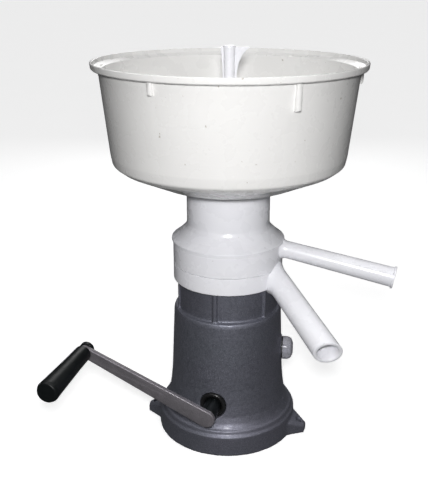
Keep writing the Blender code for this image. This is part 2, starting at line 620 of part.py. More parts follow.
def make_cream_receiver():
    """The upper ring trough and the slim cream spout on its wall."""
    outer, inner = RECEIVER_RADIUS, RECEIVER_RADIUS - RECEIVER_WALL
    low = SKIM_TOP + GAP
    profile = [(20.5, low), (54.9, low), (54.9, 199.5), (57.2, 199.5), (57.2, low)]
    profile += [(outer, low), (outer, CREAM_TOP), (inner, CREAM_TOP), (inner, low + 2.5)]
    profile += [(22.6, low + 2.5), (22.6, 207.6), (20.5, 207.6)]
    finish = material("cream_plastic", COOL_PLASTIC, 0.3)
    receiver = add("cream_receiver", lathe(profile, SIDES_RECEIVER), finish)
    drop = math.tan(math.radians(CREAM_SPOUT_SLOPE))
    root = polar(54.0, CREAM_SPOUT_AZIMUTH, CREAM_SPOUT_Z + (RECEIVER_RADIUS - 54.0) * drop)
    frame = along(root, outward(CREAM_SPOUT_AZIMUTH, CREAM_SPOUT_SLOPE))
    end = (CREAM_SPOUT_REACH - 54.0) / math.cos(math.radians(CREAM_SPOUT_SLOPE))
    outline = [(0, 0), (CREAM_SPOUT_ROOT_RADIUS, 0), (CREAM_SPOUT_END_RADIUS, end - 2.8)]
    outline += [(CREAM_FLANGE_RADIUS, end - 2.2), (CREAM_FLANGE_RADIUS, end), (0, end)]
    spout = add("cream_spout", place(lathe(outline, 16), frame), finish)
    near = outer + GAP
    clear_ring = [(0, 150), (near, 150), (near, CREAM_TOP - 0.4), (62.6, CREAM_TOP - 0.4)]
    clear_ring += [(62.6, 260), (0, 260)]
    shape(spout, "DIFFERENCE", lathe(clear_ring, SIDES_RECEIVER))
    bore = helper("cream_spout_bore", place(rod(CREAM_SPOUT_BORE, -6, end + 8, SIDES_SHAFT), frame))
    keep = [(45.0, low + 3.5), (190, low - 30), (190, 240), (63.6, 240), (63.6, CREAM_TOP - 2.4)]
    keep += [(45.0, CREAM_TOP - 2.4)]
    shape(bore, "INTERSECT", lathe(keep, SIDES_RECEIVER))
    shape(receiver, "DIFFERENCE", bore)
    shape(spout, "DIFFERENCE", bore)


def make_float_chamber():
    """The necked chamber that covers the cream receiver, and the float in it."""
    neck = CHAMBER_NECK_RADIUS
    skirt = CREAM_TOP + GAP
    under = CHAMBER_FLOOR - 2.6
    profile = [(neck, CHAMBER_TOP), (neck, 248.0), (46.6, 244.0), (55.0, 235.8)]
    profile += [(59.6, 232.4), (61.4, 230.6), (61.8, skirt), (57.2, skirt), (57.2, 225.5)]
    profile += [(55.2, 225.5), (55.2, 230.0), (48.0, under), (4.6, under), (4.6, 212)]
    profile += [(3.2, 212), (3.2, CHAMBER_FLOOR), (neck - 2.4, CHAMBER_FLOOR)]
    profile += [(neck - 2.4, CHAMBER_TOP)]
    add("float_chamber", lathe(profile, SIDES_RECEIVER), material("chamber_plastic", COOL_PLASTIC, 0.3))
    floor = CHAMBER_FLOOR + GAP
    float_profile = [(0, floor + 3), (8, floor + 3), (10, floor), (37, floor), (37, floor + 16)]
    float_profile += [(35, floor + 18), (8, floor + 19), (3.5, floor + 23.5), (0, floor + 23.5)]
    add("milk_float", lathe(float_profile, 24), material("float_plastic", WHITE_PLASTIC, 0.35))


# ---------------------------------------------------------------- bowl and tap


def bowl_tab(azimuth, drop, width):
    """A short upright tab moulded under the lip on the outside of the wall."""
    high = BOWL_LIP + 1.0
    low = BOWL_LIP - drop
    inner_high, inner_low = 130.8, 130.8 - 0.103 * drop
    outline = [(inner_high, high), (inner_low, low), (133.2, low), (134.6, low + 1.6), (135.4, high)]
    rings = [[(r, side, z) for r, z in outline] for side in (-width / 2, width / 2)]
    return place(loft(rings), Matrix.Rotation(math.radians(azimuth - 90), 4, "Z"))


def make_bowl():
    """The milk bowl with its flared lip, locating collar and tap seat."""
    profile = [(BOWL_RADIUS, BOWL_RIM), (139.2, 413.0), (138.0, 412.0), (132.2, BOWL_LIP)]
    profile += [(123.4, 325.0), (121.8, 316.6), (115.2, 311.8), (75.5, 294.0)]
    profile += [(42.2, 294.0), (42.2, 286.0), (39.6, 286.0), (39.6, 294.0)]
    profile += [(11.4, 294.0), (11.0, 276.0), (7.4, 276.0), (8.6, 303.0)]
    profile += [(11.6, 303.0), (11.6, BOWL_FLOOR), (73.0, BOWL_FLOOR)]
    profile += [(113.4, 315.0), (118.8, 319.4), (120.9, 327.0), (129.4, 411.6), (136.8, 414.6)]
    profile += [(137.8, BOWL_RIM)]
    bowl = add("milk_bowl", lathe(profile, SIDES_BOWL), material("bowl_plastic", WHITE_PLASTIC, 0.3))
    for azimuth, drop, width in BOWL_TABS:
        shape(bowl, "UNION", bowl_tab(azimuth, drop, width))
    shape(bowl, "DIFFERENCE", block((6.5, -3.5, 298.4), (14, 3.5, 301.6)))


def make_tap():
    """The tap: a hollow tapered plug, a long stem and a lever blade at the top."""
    top = BOWL_RIM + 14.4
    profile = [(0, 297.6), (4.6, 297.6), (4.2, 276.4), (6.9, 276.4), (8.2, 303.4), (7.4, 306.0)]
    profile += [(5.2, 309.0), (5.2, 360), (5.9, top - 3.4), (6.2, top - 2.6), (6.2, top - 0.8)]
    profile += [(5.4, top), (0, top)]
    tap = add("tap_plug", lathe(profile, SIDES_SHAFT), material("tap_plastic", COOL_PLASTIC, 0.3))

    # Each blade's outline is the radius and the drop below the stem's top
    lever = [(2.0, 40.0), (7.2, 40.0), (7.6, 26.0), (9.4, 17.0), (13.0, 9.0), (19.6, 2.4)]
    lever += [(20.2, 1.6), (2.0, 1.6)]
    rib = [(2.0, 40.0), (6.6, 40.0), (7.0, 20.0), (8.6, 4.0), (8.6, 1.6), (2.0, 1.6)]
    for outline, turn in ((lever, TAP_TURN), (rib, TAP_TURN + math.pi)):
        rings = [[(x, y, top - drop) for x, drop in outline] for y in (1.1, -1.1)]
        shape(tap, "UNION", place(loft(rings), Matrix.Rotation(turn, 4, "Z")))
    shape(tap, "DIFFERENCE", block((2.0, -2.4, 292.0), (12, 2.4, 296.0)))


def main():
    clear_scene()
    make_housing()
    make_bottom_cover()
    make_oil_plug()
    make_bearings()
    make_crank()
    make_idler()
    make_spindle()
    make_drum()
    make_skim_receiver()
    make_cream_receiver()
    make_float_chamber()
    make_bowl()
    make_tap()


main()
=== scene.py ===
"""Looks of the hand-cranked cream separator.

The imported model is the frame. Each outer piece gets a fine mesh with rounded edges, and the
pieces inside keep their meshes and get better materials. Lengths are in millimetres, and the
mesh helpers turn them into metres. Azimuth 0 is the front (-Y) and azimuth 90 the right (+X).
"""

import json
import math

import bmesh
import bpy
from mathutils import Matrix, Vector


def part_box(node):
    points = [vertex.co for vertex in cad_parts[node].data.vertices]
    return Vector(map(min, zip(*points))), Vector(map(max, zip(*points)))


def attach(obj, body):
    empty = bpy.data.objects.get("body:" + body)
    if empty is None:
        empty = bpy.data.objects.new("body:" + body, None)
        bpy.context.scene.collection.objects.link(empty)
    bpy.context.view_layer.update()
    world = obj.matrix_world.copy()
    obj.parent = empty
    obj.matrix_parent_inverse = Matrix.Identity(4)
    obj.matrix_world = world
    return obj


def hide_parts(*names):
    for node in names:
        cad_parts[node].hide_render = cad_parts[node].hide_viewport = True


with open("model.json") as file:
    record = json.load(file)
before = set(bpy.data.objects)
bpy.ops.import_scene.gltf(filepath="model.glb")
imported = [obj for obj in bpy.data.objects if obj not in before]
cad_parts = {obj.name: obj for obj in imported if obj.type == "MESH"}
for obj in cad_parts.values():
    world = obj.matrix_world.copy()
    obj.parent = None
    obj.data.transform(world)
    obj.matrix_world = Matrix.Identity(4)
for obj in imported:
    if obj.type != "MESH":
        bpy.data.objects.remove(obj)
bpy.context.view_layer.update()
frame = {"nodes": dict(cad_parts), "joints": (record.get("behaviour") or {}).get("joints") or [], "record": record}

MM = 0.001
GAP = 0.3  # clearance between pieces that touch on the real machine
FINE = 192  # sides of the large round pieces
SMALL = 64  # sides of the small ones


def lowest(node):
    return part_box(node)[0] / MM


def highest(node):
    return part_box(node)[1] / MM


def joint(name):
    """A joint's place in millimetres."""
    found = next(j for j in frame["joints"] if j["name"] == name)
    return Vector(found["pos_m"]) / MM


# Heights of the stack, from the frame
HOUSING_TOP = highest("drive_housing").z
CREAM_TOP = highest("cream_receiver").z
CHAMBER_TOP = highest("float_chamber").z
BOWL_RIM = highest("milk_bowl").z
TAP_TOP = highest("tap_plug").z
TAP_LOW = lowest("tap_plug").z
SKIM_TOP = HOUSING_TOP + 19.3
LEDGE = HOUSING_TOP - 33.5
DECK_TOP = highest("upper_bearing").z + 0.2
DECK_LOW = DECK_TOP - 7.0
BOWL_LIP = BOWL_RIM - 7.0
BOWL_FLOOR = CHAMBER_TOP + 3.6

# Radii
BOWL_RADIUS = highest("milk_bowl").x
FOOT_RADIUS = 79.8
NECK_RADIUS = 54.7
RECEIVER_RADIUS = 60.3
RECEIVER_WALL = 2.6
CHAMBER_NECK_RADIUS = 45.0
DRUM_CHAMBER_RADIUS = 51.0
COVER_RADIUS = highest("bottom_cover").x

# Crank, from its joints
CRANK = joint("crank_turn")
GRIP = joint("grip_turn")
CRANK_ARM = math.hypot(GRIP.x - CRANK.x, GRIP.z - CRANK.z)
CRANK_ANGLE = math.atan2(GRIP.z - CRANK.z, GRIP.x - CRANK.x)
IDLER = joint("idler_turn")

# Spouts
CREAM_SPOUT_AZIMUTH = 88.5
CREAM_SPOUT_SLOPE = 9.5
CREAM_SPOUT_Z = CREAM_TOP - 6.4
CREAM_SPOUT_REACH = highest("cream_spout").x + 0.4
CREAM_SPOUT_BORE = 7.2
SKIM_ROOT_AZIMUTH = 73.0
SKIM_AZIMUTH = 44.0
SKIM_SLOPE = 25.0
SKIM_Z = SKIM_TOP - 10.1
SKIM_LENGTH = 106.4
SKIM_ROOT_RADIUS = 13.0
SKIM_MOUTH_RADIUS = 14.1
SKIM_BORE = 10.6
SKIM_MOUTH_AZIMUTH = 21.0
SKIM_MOUTH_SLOPE = 19.0

LUG_AZIMUTHS = (-85.0, 87.0, 180.0)
LUG_HOLE_RADIUS = 87.6
SCREW_AZIMUTHS = (60.0, 180.0, 300.0)
OIL_AZIMUTH = 97.0
OIL_Z = 98.0
TAP_TURN = math.radians(14)

# Tabs under the bowl's lip: azimuth, drop below the lip and width
BOWL_TABS = (
    (-79.0, 11.0, 5.0),
    (-17.5, 12.5, 4.6),
    (41.0, 25.0, 5.2),
    (101.0, 15.0, 5.0),
    (161.0, 15.0, 5.0),
    (221.0, 15.0, 5.0),
)


# ---------------------------------------------------------------- mesh helpers


def polar(radius, azimuth, z=0.0):
    angle = math.radians(azimuth)
    return Vector((radius * math.sin(angle), -radius * math.cos(angle), z))


def outward(azimuth, slope=0.0):
    fall = math.radians(slope)
    flat = polar(math.cos(fall), azimuth)
    return Vector((flat.x, flat.y, -math.sin(fall)))


def along(start, direction):
    """The matrix that takes +Z to a direction, from a start point in millimetres."""
    turn = direction.normalized().to_track_quat("Z", "Y").to_matrix().to_4x4()
    return Matrix.Translation(Vector(start) * MM) @ turn


def upright(radius, azimuth):
    return Matrix.Translation(polar(radius, azimuth) * MM)


def rounded(corners, closed=False, steps=5):
    """An outline through corners (r, z, fillet). Each fillet is a short curve."""
    count = len(corners)
    points = []
    for i, (r, z, fillet) in enumerate(corners):
        at_end = not closed and i in (0, count - 1)
        if fillet == 0 or at_end:
            points.append((r, z))
            continue
        corner = Vector((r, z))
        back = Vector(corners[i - 1][:2]) - corner
        ahead = Vector(corners[(i + 1) % count][:2]) - corner
        reach = fillet / math.tan(max(back.angle(ahead), 0.2) / 2)
        start = corner + back.normalized() * min(reach, back.length * 0.48)
        end = corner + ahead.normalized() * min(reach, ahead.length * 0.48)
        for step in range(steps + 1):
            t = step / steps
            point = start * (1 - t) ** 2 + corner * 2 * t * (1 - t) + end * t * t
            points.append((point.x, point.y))
    return points


def lathe(profile, sides=FINE):
    """A mesh turned about Z. A profile that doesn't start on the axis is a closed ring."""
    bm = bmesh.new()
    ring = profile[0][0] > 0
    columns = []
    for i in range(sides):
        c, s = math.cos(2 * math.pi * i / sides), math.sin(2 * math.pi * i / sides)
        columns.append([bm.verts.new((r * c * MM, r * s * MM, z * MM)) for r, z in profile])
    steps = len(profile) if ring else len(profile) - 1
    for i in range(sides):
        here, there = columns[i], columns[(i + 1) % sides]
        for j in range(steps):
            k = (j + 1) % len(profile)
            bm.faces.new((here[j], there[j], there[k], here[k]))
    bmesh.ops.remove_doubles(bm, verts=bm.verts, dist=1e-7)
    bmesh.ops.dissolve_degenerate(bm, edges=bm.edges, dist=1e-7)
    return bm


def rod(radius, low, high, sides=SMALL):
    return lathe([(0, low), (radius, low), (radius, high), (0, high)], sides)


def loft(rings):
    """A closed solid through rings of points in millimetres, with flat ends."""
    bm = bmesh.new()
    loops = [[bm.verts.new(Vector(p) * MM) for p in ring] for ring in rings]
    for low, high in zip(loops, loops[1:]):
        for i in range(len(low)):
            j = (i + 1) % len(low)
            bm.faces.new((low[i], low[j], high[j], high[i]))
    bm.faces.new(list(reversed(loops[0])))
    bm.faces.new(loops[-1])
    return bm


def block(low, high):
    outline = ((low[0], low[1]), (high[0], low[1]), (high[0], high[1]), (low[0], high[1]))
    return loft([[(x, y, z) for x, y in outline] for z in (low[2], high[2])])


def place(bm, matrix):
    bmesh.ops.transform(bm, matrix=matrix, verts=bm.verts)
    return bm


def add(name, bm, look=None, sharp=50):
    """Adds a mesh to the scene as one piece, smooth except along its sharp edges."""
    bmesh.ops.recalc_face_normals(bm, faces=bm.faces)
    mesh = bpy.data.meshes.new(name)
    bm.to_mesh(mesh)
    bm.free()
    mesh.shade_smooth()
    mesh.set_sharp_from_angle(angle=math.radians(sharp))
    obj = bpy.data.objects.new(name, mesh)
    bpy.context.scene.collection.objects.link(obj)
    if look:
        mesh.materials.append(look)
    return obj


def shape(obj, operation, bm):
    """Adds a Boolean with a helper body, which settle removes."""
    body = add(f"{obj.name}.{operation.lower()}.{len(obj.modifiers)}", bm)
    body.hide_render = True
    modifier = obj.modifiers.new(operation.title(), "BOOLEAN")
    modifier.operation = operation
    modifier.solver = "EXACT"
    modifier.object = body


def bevel(obj, width, segments=3, angle=40):
    modifier = obj.modifiers.new("Bevel", "BEVEL")
    modifier.width = width * MM
    modifier.segments = segments
    modifier.limit_method = "ANGLE"
    modifier.angle_limit = math.radians(angle)
    modifier.harden_normals = False


def cast(obj, voxel, rounds):
    """Melts the edges of a piece as in a casting: a fine remesh, then smoothing."""
    remesh = obj.modifiers.new("Remesh", "REMESH")
    remesh.mode = "VOXEL"
    remesh.voxel_size = voxel * MM
    remesh.use_smooth_shade = True
    smooth = obj.modifiers.new("Smooth", "SMOOTH")
    smooth.factor = 0.5
    smooth.iterations = rounds


def settle(obj, sharp=50):
    """Replaces a piece's modifiers by the mesh that they make, and removes their helpers."""
    helpers = [m.object for m in obj.modifiers if m.type == "BOOLEAN"]
    graph = bpy.context.evaluated_depsgraph_get()
    made = bpy.data.meshes.new_from_object(obj.evaluated_get(graph))
    made.name = obj.name
    obj.modifiers.clear()
    looks = list(obj.data.materials)
    obj.data = made
    made.materials.clear()
    for look in looks:
        made.materials.append(look)
    made.polygons.foreach_set("material_index", [0] * len(made.polygons))
    made.shade_smooth()
    made.set_sharp_from_angle(angle=math.radians(sharp))
    for body in helpers:
        bpy.data.objects.remove(body, do_unlink=True)


def take_mesh(obj):
    """The mesh of a helper body, which leaves the scene."""
    bm = bmesh.new()
    bm.from_mesh(obj.data)
    bpy.data.objects.remove(obj, do_unlink=True)
    return bm


def finish_piece(obj, body, slot, *nodes):
    """Puts a finished piece on its body in place of CAD nodes."""
    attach(obj, body)
    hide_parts(*nodes)


# ---------------------------------------------------------------- materials


class Look:
    """A material whose colour, roughness and bump come from procedural nodes."""

    def __init__(self, name, **sockets):
        self.material = bpy.data.materials.new(name)
        self.material.use_nodes = True
        self.tree = self.material.node_tree
        self.shader = self.tree.nodes["Principled BSDF"]
        for socket, value in sockets.items():
            self.shader.inputs[socket.replace("_", " ")].default_value = value
        self.coordinates = self.node("ShaderNodeTexCoord").outputs["Object"]

    def node(self, kind, **settings):
        made = self.tree.nodes.new(kind)
        for name, value in settings.items():
            setattr(made, name, value)
        return made

    def link(self, output, socket):
        self.tree.links.new(output, socket)

    def stretched(self, scale):
        mapping = self.node("ShaderNodeMapping")
        mapping.inputs["Scale"].default_value = scale
        self.link(self.coordinates, mapping.inputs["Vector"])
        return mapping.outputs["Vector"]

    def noise(self, scale, detail=3.0, stretch=None):
        """Noise from 0 to 1 with a number of features to the metre."""
        made = self.node("ShaderNodeTexNoise")
        made.inputs["Scale"].default_value = scale
        made.inputs["Detail"].default_value = detail
        source = self.stretched(stretch) if stretch else self.coordinates
        self.link(source, made.inputs["Vector"])
        return made.outputs["Fac"]

    def cells(self, scale):
        made = self.node("ShaderNodeTexVoronoi", feature="SMOOTH_F1")
        made.inputs["Scale"].default_value = scale
        self.link(self.coordinates, made.inputs["Vector"])
        return made.outputs["Distance"]

    def span(self, value, low, high, start=0.3, end=0.7):
        """Maps a value between start and end to the span from low to high."""
        made = self.node("ShaderNodeMapRange")
        made.inputs["From Min"].default_value = start
        made.inputs["From Max"].default_value = end
        made.inputs["To Min"].default_value = low
        made.inputs["To Max"].default_value = high
        self.link(value, made.inputs["Value"])
        return made.outputs["Result"]

    def mix(self, share, first, second):
        """A colour between two, each a colour or another node's output."""
        made = self.node("ShaderNodeMix", data_type="RGBA")
        self.link(share, made.inputs["Factor"])
        for colour, socket in ((first, made.inputs["A"]), (second, made.inputs["B"])):
            if isinstance(colour, tuple):
                socket.default_value = (*colour, 1.0)
            else:
                self.link(colour, socket)
        return made.outputs["Result"]

    def colour(self, output):
        self.link(output, self.shader.inputs["Base Color"])

    def roughness(self, value, low, high):
        self.link(self.span(value, low, high), self.shader.inputs["Roughness"])

    def bump(self, height, depth, strength=1.0, below=None):
        """A bump of a depth in millimetres, on top of another bump if one is given."""
        made = self.node("ShaderNodeBump")
        made.inputs["Strength"].default_value = strength
        made.inputs["Distance"].default_value = depth * MM
        self.link(height, made.inputs["Height"])
        if below:
            self.link(below, made.inputs["Normal"])
        self.link(made.outputs["Normal"], self.shader.inputs["Normal"])
        return made.outputs["Normal"]


def plastic_look(name, light, shade, speck, rough):
    """Glossy moulded plastic: faint clouding, fine flow lines and a few tiny specks."""
    look = Look(name, Specular_IOR_Level=0.5, Coat_Weight=0.25, Coat_Roughness=0.12)
    clouds = look.span(look.noise(14.0, 4.0), 0.0, 1.0)
    body = look.mix(clouds, light, shade)
    specks = look.span(look.noise(190.0, 1.0), 0.0, 1.0, 0.76, 0.80)
    look.colour(look.mix(specks, body, speck))
    look.roughness(look.noise(60.0, 3.0), rough - 0.05, rough + 0.07)
    rings = look.bump(look.noise(9.0, 3.0, stretch=(1.0, 1.0, 46.0)), 0.25, 0.35)
    look.bump(look.noise(420.0, 2.0), 0.03, 0.5, below=rings)
    return look.material


def enamel_look(name, dark, light, tint):
    """Hammered enamel: small shallow dimples and a slow drift between grey and violet."""
    look = Look(name, Metallic=0.8, Specular_IOR_Level=0.3, Coat_Weight=0.15, Coat_Roughness=0.18)
    drift = look.span(look.noise(11.0, 3.0), 0.0, 1.0)
    body = look.mix(drift, dark, tint)
    flakes = look.span(look.noise(1300.0, 2.0), 0.0, 1.0, 0.36, 0.76)
    look.colour(look.mix(flakes, body, light))
    look.roughness(look.noise(300.0, 2.0), 0.50, 0.66)
    dimples = look.bump(look.cells(420.0), 0.2, 0.5)
    look.bump(look.noise(1300.0, 2.0), 0.05, 0.5, below=dimples)
    return look.material


def black_plastic_look():
    look = Look("black_grip_plastic", Specular_IOR_Level=0.3)
    clouds = look.span(look.noise(40.0, 3.0), 0.0, 1.0)
    look.colour(look.mix(clouds, (0.003, 0.004, 0.0045), (0.007, 0.009, 0.009)))
    look.roughness(look.noise(160.0, 3.0), 0.28, 0.42)
    look.bump(look.noise(1400.0, 2.0), 0.05, 0.7)
    return look.material


def rubber_look(name, rough, grey):
    look = Look(name, Specular_IOR_Level=0.5)
    clouds = look.span(look.noise(70.0, 3.0), 0.0, 1.0)
    look.colour(look.mix(clouds, (grey, grey, grey), (grey * 1.8, grey * 1.8, grey * 1.9)))
    look.roughness(look.noise(200.0, 2.0), rough, rough + 0.12)
    look.bump(look.noise(800.0, 2.0), 0.04, 0.5)
    return look.material


def metal_look(name, light, dark, rough, stretch, bump=0.02):
    """Turned or rolled metal: fine lines along one direction and slow stains."""
    look = Look(name, Metallic=1.0)
    stains = look.span(look.noise(35.0, 4.0), 0.0, 1.0)
    lines = look.noise(260.0, 2.0, stretch=stretch)
    body = look.mix(stains, light, dark)
    look.colour(look.mix(look.span(lines, 0.0, 0.35), body, dark))
    look.roughness(lines, rough - 0.06, rough + 0.12)
    look.bump(lines, bump, 0.5)
    return look.material


def plug_look():
    """Grey translucent plastic with faint streaks."""
    look = Look("plug_plastic", Specular_IOR_Level=0.5, Transmission_Weight=0.25, IOR=1.46)
    clouds = look.span(look.noise(90.0, 3.0), 0.0, 1.0)
    look.colour(look.mix(clouds, (0.34, 0.34, 0.39), (0.44, 0.44, 0.48)))
    look.roughness(look.noise(240.0, 2.0), 0.22, 0.36)
    look.bump(look.noise(500.0, 2.0), 0.04, 0.5)
    return look.material


ACROSS_SHAFT = (1.0, 1.0, 14.0)
ROUND_AXIS = (0.2, 0.2, 6.0)
LOOKS = {
    "housing_enamel": enamel_look(
        "housing_enamel", (0.140, 0.152, 0.182), (0.290, 0.296, 0.345), (0.172, 0.168, 0.214)),
    "arm_enamel": enamel_look(
        "arm_enamel", (0.210, 0.200, 0.216), (0.430, 0.410, 0.440), (0.260, 0.235, 0.260)),
    "receiver_plastic": plastic_look(
        "receiver_plastic", (0.90, 0.90, 0.935), (0.86, 0.86, 0.905), (0.66, 0.65, 0.67), 0.26),
    "bowl_plastic": plastic_look(
        "bowl_plastic", (0.86, 0.855, 0.84), (0.82, 0.812, 0.80), (0.52, 0.49, 0.45), 0.27),
    "black_grip_plastic": black_plastic_look(),
    "black_seal_rubber": rubber_look("black_seal_rubber", 0.12, 0.008),
    "dark_rubber": rubber_look("dark_rubber", 0.55, 0.02),
    "plug_plastic": plug_look(),
    "cover_steel": metal_look(
        "cover_steel", (0.46, 0.46, 0.47), (0.36, 0.36, 0.37), 0.36, (8.0, 0.4, 1.0)),
    "screw_steel": metal_look(
        "screw_steel", (0.55, 0.55, 0.56), (0.42, 0.42, 0.42), 0.3, ROUND_AXIS),
    "shaft_steel": metal_look(
        "shaft_steel", (0.58, 0.58, 0.59), (0.45, 0.45, 0.46), 0.24, ACROSS_SHAFT),
    "bearing_bronze": metal_look(
        "bearing_bronze", (0.58, 0.38, 0.17), (0.42, 0.26, 0.12), 0.32, ROUND_AXIS),
    "drum_alloy": metal_look(
        "drum_alloy", (0.70, 0.71, 0.72), (0.60, 0.61, 0.62), 0.28, ACROSS_SHAFT),
    "disc_steel": metal_look(
        "disc_steel", (0.68, 0.68, 0.70), (0.57, 0.57, 0.59), 0.2, ACROSS_SHAFT),
    "brass_screw": metal_look(
        "brass_screw", (0.74, 0.56, 0.26), (0.58, 0.42, 0.18), 0.26, ROUND_AXIS),
}


def dress_cad_nodes():
    """Gives every node that keeps its CAD mesh its slot's material."""
    for part in frame["record"]["subparts"]:
        node = frame["nodes"][part["node"]]
        node.data.materials.clear()
        node.data.materials.append(LOOKS[part["material_slot"]])


# ---------------------------------------------------------------- housing


def housing_outside(inset=0.0):
    """The casting's outer outline, from the table up to the neck."""
    corners = [(FOOT_RADIUS, 0.0, 0.0), (FOOT_RADIUS, 1.0, 0.6), (79.0, 22.6, 1.6)]
    corners += [(76.4, 24.8, 1.0), (75.4, 28.4, 1.2), (73.0, 29.8, 1.5)]
    corners += [(70.0, 34.4, 8.0), (67.5, 41.5, 10.0)]
    corners += [(65.4, 55.0, 30.0), (63.7, 72.0, 60.0)]
    corners += [(60.4, LEDGE - 4.0, 8.0), (59.4, LEDGE, 1.6), (NECK_RADIUS, LEDGE + 0.8, 1.6)]
    corners += [(NECK_RADIUS, HOUSING_TOP, 0.8)]
    return [(r - inset, z, fillet) for r, z, fillet in corners]


def housing_lug(azimuth):
    """A foot lug: wide at the foot, narrow and low at its rounded tip."""
    rings = []
    for radius, side, height in ((74.0, 20.0, 19.0), (80.6, 15.0, 17.0), (95.2, 4.5, 9.6)):
        crown = [(side * math.cos(a), height - 3 + 3 * math.sin(a), radius)
                 for a in (math.radians(t) for t in range(0, 181, 20))]
        rings.append([(-side, 0, radius), (side, 0, radius), *crown])
    turn = Matrix.Rotation(math.radians(azimuth), 4, "Z") @ Matrix.Rotation(math.pi / 2, 4, "X")
    return place(loft(rings), turn)


def housing_works():
    """Bridge and bosses inside the casting that carry the bearings."""
    bodies = [block((-63, -13, 51), (63, 13, 62))]
    bodies.append(place(rod(19, 42, 70), along(CRANK, outward(0))))
    for azimuth, start in ((0, 40), (180, 29)):
        bodies.append(place(rod(9, start, 62), along(IDLER, outward(azimuth))))
    return bodies


def make_housing():
    inside = [(DRUM_CHAMBER_RADIUS, HOUSING_TOP), (DRUM_CHAMBER_RADIUS, DECK_TOP)]
    inside += [(17.0, DECK_TOP), (17.0, DECK_LOW), (58.0, DECK_LOW), (60.6, 72.0), (62.2, 55.0)]
    inside += [(64.6, 38.0), (68.5, 26.0), (68.5, 5.0)]
    inside += [(COVER_RADIUS + GAP, 5.0), (COVER_RADIUS + GAP, 0.0)]
    housing = add("cast_housing", lathe(rounded(housing_outside()) + inside))
    envelope = [(0, 0)] + rounded(housing_outside(1.5)) + [(0, HOUSING_TOP)]
    for i, bm in enumerate(housing_works()):
        body = add(f"works.{i}", bm)
        shape(body, "INTERSECT", lathe(envelope, 96))
        settle(body)
        shape(housing, "UNION", take_mesh(body))

    for azimuth in SCREW_AZIMUTHS:
        shape(housing, "UNION", place(rod(5.5, 5.0, 20), upright(64, azimuth)))
    boss = rounded([(0, 12, 0), (9, 12, 0), (9, 33.0, 5.0), (7.0, 40.5, 3.0), (0, 40.5, 0)])
    for azimuth in LUG_AZIMUTHS:
        shape(housing, "UNION", housing_lug(azimuth))
    for azimuth in LUG_AZIMUTHS[:2]:
        shape(housing, "UNION", place(lathe(boss, SMALL), upright(62, azimuth)))
    for i in range(6):
        rib = block((-2, 52.6, LEDGE - 1), (2, 57.0, HOUSING_TOP - 0.4))
        shape(housing, "UNION", place(rib, Matrix.Rotation(math.radians(60 * i + 180), 4, "Z")))
    oil = along((0, 0, OIL_Z), outward(OIL_AZIMUTH))
    shape(housing, "UNION", place(rod(14.5, 56.5, 62.6), oil))

    crank = along(CRANK, outward(0))
    seat = [(0, 40), (11.0, 40), (11.0, 57.5), (14.75, 57.5), (14.75, 75), (0, 75)]
    shape(housing, "DIFFERENCE", place(lathe(seat, SMALL), crank))
    shape(housing, "DIFFERENCE", place(rod(10.3, 50, 70), oil))
    shape(housing, "DIFFERENCE", rod(11.4, 56.0, 70))
    for azimuth, low, high in ((0, 38, 46), (180, 27, 42)):
        shape(housing, "DIFFERENCE", place(rod(7.0, low, high), along(IDLER, outward(azimuth))))
    for azimuth in SCREW_AZIMUTHS:
        shape(housing, "DIFFERENCE", place(rod(2.1, -1, 16), upright(62, azimuth)))
    for azimuth in LUG_AZIMUTHS:
        shape(housing, "DIFFERENCE", place(rod(3.3, -1, 30), upright(LUG_HOLE_RADIUS, azimuth)))
    housing.data.materials.append(LOOKS["housing_enamel"])
    cast(housing, 0.85, 4)
    settle(housing, sharp=180)
    finish_piece(housing, "base", "housing_enamel", "drive_housing")


def make_oil_plug():
    """The domed filler plug, with flats round its side."""
    radial = along((0, 0, OIL_Z), outward(OIL_AZIMUTH))
    corners = [(0, 56.5, 0), (9.9, 56.5, 0.6), (9.9, 64.4, 0), (13.2, 64.4, 0.5)]
    corners += [(13.0, 69.5, 1.5), (11.4, 73.6, 4.0), (6.0, 75.7, 4.0), (0, 75.9, 0)]
    plug = lathe(rounded(corners), 96)
    for v in plug.verts:
        angle = math.atan2(v.co.y, v.co.x)
        share = min(1.0, max(0.0, (v.co.z / MM - 64.3) * 2))
        inward = 0.35 * share * (1 - math.cos(12 * angle)) / 2
        radius = v.co.xy.length / MM
        if radius > 8:
            v.co.xy *= (radius - inward) / radius
    body = add("filler_plug", place(plug, radial), LOOKS["plug_plastic"])
    finish_piece(body, "base", "plug_plastic", "oil_filler_plug")
    corners = [(10.4, 62.9, 0.4), (13.1, 62.9, 0.4), (13.1, 64.1, 0.4), (10.4, 64.1, 0.4)]
    ring = place(lathe(rounded(corners, True), 96), radial)
    washer = add("filler_washer", ring, LOOKS["dark_rubber"])
    finish_piece(washer, "base", "dark_rubber", "oil_plug_washer")


# ---------------------------------------------------------------- crank


